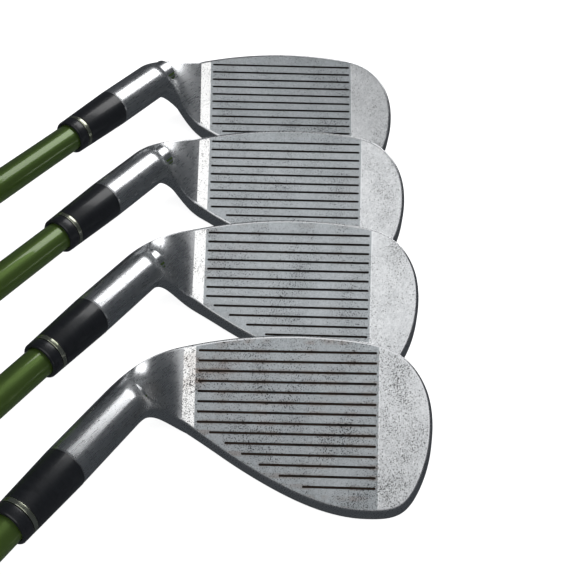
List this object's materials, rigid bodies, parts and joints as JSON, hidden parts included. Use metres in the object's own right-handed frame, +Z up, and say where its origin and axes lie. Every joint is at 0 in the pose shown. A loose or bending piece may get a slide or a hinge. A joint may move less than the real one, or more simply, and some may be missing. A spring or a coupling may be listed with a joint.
{
  "type": "golf club set",
  "caption": "Matched golf irons lying face up side by side: satin steel blade heads with cut score lines, black ferrules, green tapered shafts and black rubber grips.",
  "frame": {"origin": "middle of the row's bounding box, on the floor that the clubs lie on", "axes": "+Z up from the floor, X along the shafts with the heads towards +X and the grips towards -X, +Y towards the longer irons"},
  "size_m": [1.0668, 0.1812, 0.0425],
  "materials": {
    "head_steel": "satin blasted face with polished hosel, pitted and lightly rusted",
    "badge": "brushed, dark",
    "ferrule": "satin black",
    "trim_ring": "polished",
    "shaft_paint": "olive green metallic paint under clear gloss",
    "tape": "paper tape",
    "grip_rubber": "matte, moulded pattern"
  },
  "bodies": {
    "iron_7": {"iron_7_head": "head_steel", "iron_7_badge": "badge", "iron_7_ferrule": "ferrule", "iron_7_ferrule_ring": "trim_ring", "iron_7_ferrule_collar": "ferrule", "iron_7_shaft": "shaft_paint", "iron_7_grip_tape": "tape", "iron_7_grip": "grip_rubber", "iron_7_grip_cap": "grip_rubber"},
    "iron_8": {"iron_8_head": "head_steel", "iron_8_badge": "badge", "iron_8_ferrule": "ferrule", "iron_8_ferrule_ring": "trim_ring", "iron_8_ferrule_collar": "ferrule", "iron_8_shaft": "shaft_paint", "iron_8_grip_tape": "tape", "iron_8_grip": "grip_rubber", "iron_8_grip_cap": "grip_rubber"},
    "iron_9": {"iron_9_head": "head_steel", "iron_9_badge": "badge", "iron_9_ferrule": "ferrule", "iron_9_ferrule_ring": "trim_ring", "iron_9_ferrule_collar": "ferrule", "iron_9_shaft": "shaft_paint", "iron_9_grip_tape": "tape", "iron_9_grip": "grip_rubber", "iron_9_grip_cap": "grip_rubber"},
    "wedge": {"wedge_head": "head_steel", "wedge_badge": "badge", "wedge_ferrule": "ferrule", "wedge_ferrule_ring": "trim_ring", "wedge_ferrule_collar": "ferrule", "wedge_shaft": "shaft_paint", "wedge_grip_tape": "tape", "wedge_grip": "grip_rubber", "wedge_grip_cap": "grip_rubber"}
  },
  "joints": [
    {"name": "iron_8_lift", "type": "slide", "parent": "iron_7", "child": "iron_8", "axis": [0, 0, 1], "range_m": [0, 0.2]},
    {"name": "iron_9_lift", "type": "slide", "parent": "iron_7", "child": "iron_9", "axis": [0, 0, 1], "range_m": [0, 0.2]},
    {"name": "wedge_lift", "type": "slide", "parent": "iron_7", "child": "wedge", "axis": [0, 0, 1], "range_m": [0, 0.2]}
  ]
}
